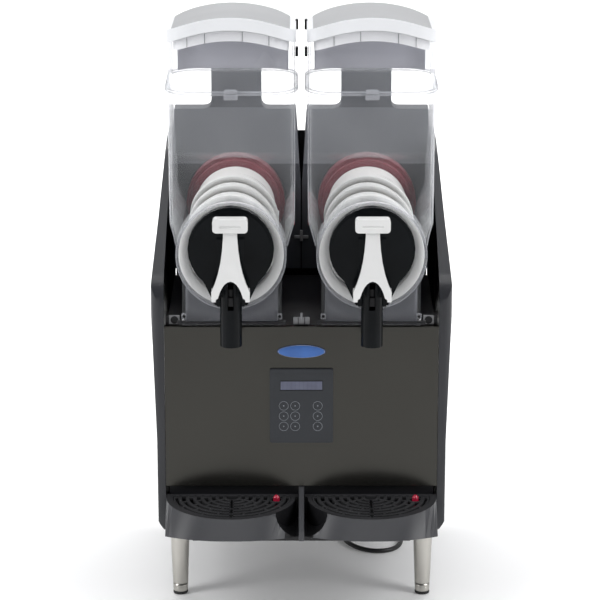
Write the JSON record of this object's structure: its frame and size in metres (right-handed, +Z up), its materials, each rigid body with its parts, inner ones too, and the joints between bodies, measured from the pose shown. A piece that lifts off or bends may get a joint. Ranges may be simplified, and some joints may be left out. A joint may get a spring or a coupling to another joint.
{
  "type": "slush machine",
  "caption": "Countertop frozen drink dispenser with clear side-by-side bowls, spiral augers, lever taps, vaulted lids, drip trays and steel legs.",
  "frame": {"origin": "on the floor under the middle of the machine's box, cord left out", "axes": "+Z up, front towards -Y, +X to the right seen from the front"},
  "size_m": [0.416, 0.628, 0.84],
  "materials": {
    "body_panel": "satin",
    "body_shell": "satin",
    "black_plastic": "gloss",
    "tower_grey": "matte",
    "steel": "brushed",
    "white_plastic": "gloss",
    "opal_plastic": "satin",
    "clear_plastic": "clear",
    "red_rubber": "satin",
    "red_plastic": "gloss",
    "fin_metal": "matte",
    "black_metal": "satin",
    "display": "gloss",
    "black_rubber": "matte",
    "badge": "satin",
    "tray_grey": "satin"
  },
  "bodies": {
    "chassis": {"base_pan": "black_metal", "tray_divider": "tray_grey", "front_panel": "body_panel", "bowl_deck": "black_metal", "rear_cover": "black_metal", "side_shell_left": "body_shell", "side_shell_right": "body_shell", "tower_left": "tower_grey", "tower_right": "tower_grey", "leg_front_left": "steel", "leg_front_right": "steel", "leg_rear_left": "steel", "leg_rear_right": "steel", "evaporator_left": "steel", "evaporator_right": "steel", "rear_gasket_left": "red_rubber", "rear_gasket_right": "red_rubber", "gear_motor_left": "black_metal", "gear_motor_right": "black_metal", "compressor": "black_metal", "condenser": "fin_metal", "fan_shroud": "steel", "control_panel": "black_plastic", "display_window": "display", "badge_plate": "badge", "cord_gland": "black_rubber", "cord_tube": "black_rubber", "cord_coil": "black_rubber", "mains_plug": "black_rubber"},
    "fan": {"fan_wheel": "black_plastic"},
    "auger_left": {"auger_left": "white_plastic", "drive_shaft_left": "steel"},
    "bowl_left": {"bowl_left": "clear_plastic", "tap_body_left": "black_plastic", "latch_bar_left": "steel"},
    "lid_left": {"lid_hood_left": "clear_plastic", "lid_cap_left": "opal_plastic", "lid_lamp_left": "white_plastic"},
    "lever_left": {"tap_lever_left": "white_plastic"},
    "piston_left": {"tap_piston_left": "white_plastic"},
    "tray_left": {"drip_tray_left": "tray_grey"},
    "grille_left": {"drip_grille_left": "black_plastic"},
    "float_left": {"tray_float_left": "red_plastic"},
    "toe_front_left": {"leg_toe_front_left": "black_rubber"},
    "toe_rear_left": {"leg_toe_rear_left": "black_rubber"},
    "auger_right": {"auger_right": "white_plastic", "drive_shaft_right": "steel"},
    "bowl_right": {"bowl_right": "clear_plastic", "tap_body_right": "black_plastic", "latch_bar_right": "steel"},
    "lid_right": {"lid_hood_right": "clear_plastic", "lid_cap_right": "opal_plastic", "lid_lamp_right": "white_plastic"},
    "lever_right": {"tap_lever_right": "white_plastic"},
    "piston_right": {"tap_piston_right": "white_plastic"},
    "tray_right": {"drip_tray_right": "tray_grey"},
    "grille_right": {"drip_grille_right": "black_plastic"},
    "float_right": {"tray_float_right": "red_plastic"},
    "toe_front_right": {"leg_toe_front_right": "black_rubber"},
    "toe_rear_right": {"leg_toe_rear_right": "black_rubber"}
  },
  "joints": [
    {"name": "fan_spin", "type": "hinge", "parent": "chassis", "child": "fan", "pos_m": [0.075, 0.178, 0.245], "axis": [0, 1, 0], "continuous": true},
    {"name": "auger_left_turn", "type": "hinge", "parent": "chassis", "child": "auger_left", "pos_m": [-0.096, -0.02, 0.518], "axis": [0, 1, 0], "continuous": true},
    {"name": "bowl_left_pull", "type": "slide", "parent": "chassis", "child": "bowl_left", "axis": [0, -1, 0], "range_m": [0, 0.3]},
    {"name": "lid_left_open", "type": "hinge", "parent": "bowl_left", "child": "lid_left", "pos_m": [-0.096, 0.04, 0.738], "axis": [-1, 0, 0], "range_deg": [0, 85]},
    {"name": "lever_left_pull", "type": "hinge", "parent": "bowl_left", "child": "lever_left", "pos_m": [-0.096, -0.196, 0.473], "axis": [1, 0, 0], "range_deg": [0, 55], "stiffness_Nm_per_rad": 0.4},
    {"name": "piston_left_lift", "type": "slide", "parent": "bowl_left", "child": "piston_left", "axis": [0, 0, 1], "range_m": [0, 0.015]},
    {"name": "tray_left_pull", "type": "slide", "parent": "chassis", "child": "tray_left", "axis": [0, -1, 0], "range_m": [0, 0.11]},
    {"name": "grille_left_lift", "type": "slide", "parent": "tray_left", "child": "grille_left", "axis": [0, 0, 1], "range_m": [0, 0.04]},
    {"name": "float_left_rise", "type": "slide", "parent": "tray_left", "child": "float_left", "axis": [0, 0, 1], "range_m": [0, 0.01]},
    {"name": "toe_front_left_turn", "type": "hinge", "parent": "chassis", "child": "toe_front_left", "pos_m": [-0.173, -0.1, 0.01], "axis": [0, 0, 1], "continuous": true},
    {"name": "toe_rear_left_turn", "type": "hinge", "parent": "chassis", "child": "toe_rear_left", "pos_m": [-0.173, 0.19, 0.01], "axis": [0, 0, 1], "continuous": true},
    {"name": "auger_right_turn", "type": "hinge", "parent": "chassis", "child": "auger_right", "pos_m": [0.096, -0.02, 0.518], "axis": [0, 1, 0], "continuous": true},
    {"name": "bowl_right_pull", "type": "slide", "parent": "chassis", "child": "bowl_right", "axis": [0, -1, 0], "range_m": [0, 0.3]},
    {"name": "lid_right_open", "type": "hinge", "parent": "bowl_right", "child": "lid_right", "pos_m": [0.096, 0.04, 0.738], "axis": [-1, 0, 0], "range_deg": [0, 85]},
    {"name": "lever_right_pull", "type": "hinge", "parent": "bowl_right", "child": "lever_right", "pos_m": [0.096, -0.196, 0.473], "axis": [1, 0, 0], "range_deg": [0, 55], "stiffness_Nm_per_rad": 0.4},
    {"name": "piston_right_lift", "type": "slide", "parent": "bowl_right", "child": "piston_right", "axis": [0, 0, 1], "range_m": [0, 0.015]},
    {"name": "tray_right_pull", "type": "slide", "parent": "chassis", "child": "tray_right", "axis": [0, -1, 0], "range_m": [0, 0.11]},
    {"name": "grille_right_lift", "type": "slide", "parent": "tray_right", "child": "grille_right", "axis": [0, 0, 1], "range_m": [0, 0.04]},
    {"name": "float_right_rise", "type": "slide", "parent": "tray_right", "child": "float_right", "axis": [0, 0, 1], "range_m": [0, 0.01]},
    {"name": "toe_front_right_turn", "type": "hinge", "parent": "chassis", "child": "toe_front_right", "pos_m": [0.173, -0.1, 0.01], "axis": [0, 0, 1], "continuous": true},
    {"name": "toe_rear_right_turn", "type": "hinge", "parent": "chassis", "child": "toe_rear_right", "pos_m": [0.173, 0.19, 0.01], "axis": [0, 0, 1], "continuous": true}
  ],
  "couplings": [
    {"joint": "piston_left_lift", "follows": "lever_left_pull", "m_per_rad": 0.0145},
    {"joint": "piston_right_lift", "follows": "lever_right_pull", "m_per_rad": 0.0145}
  ]
}
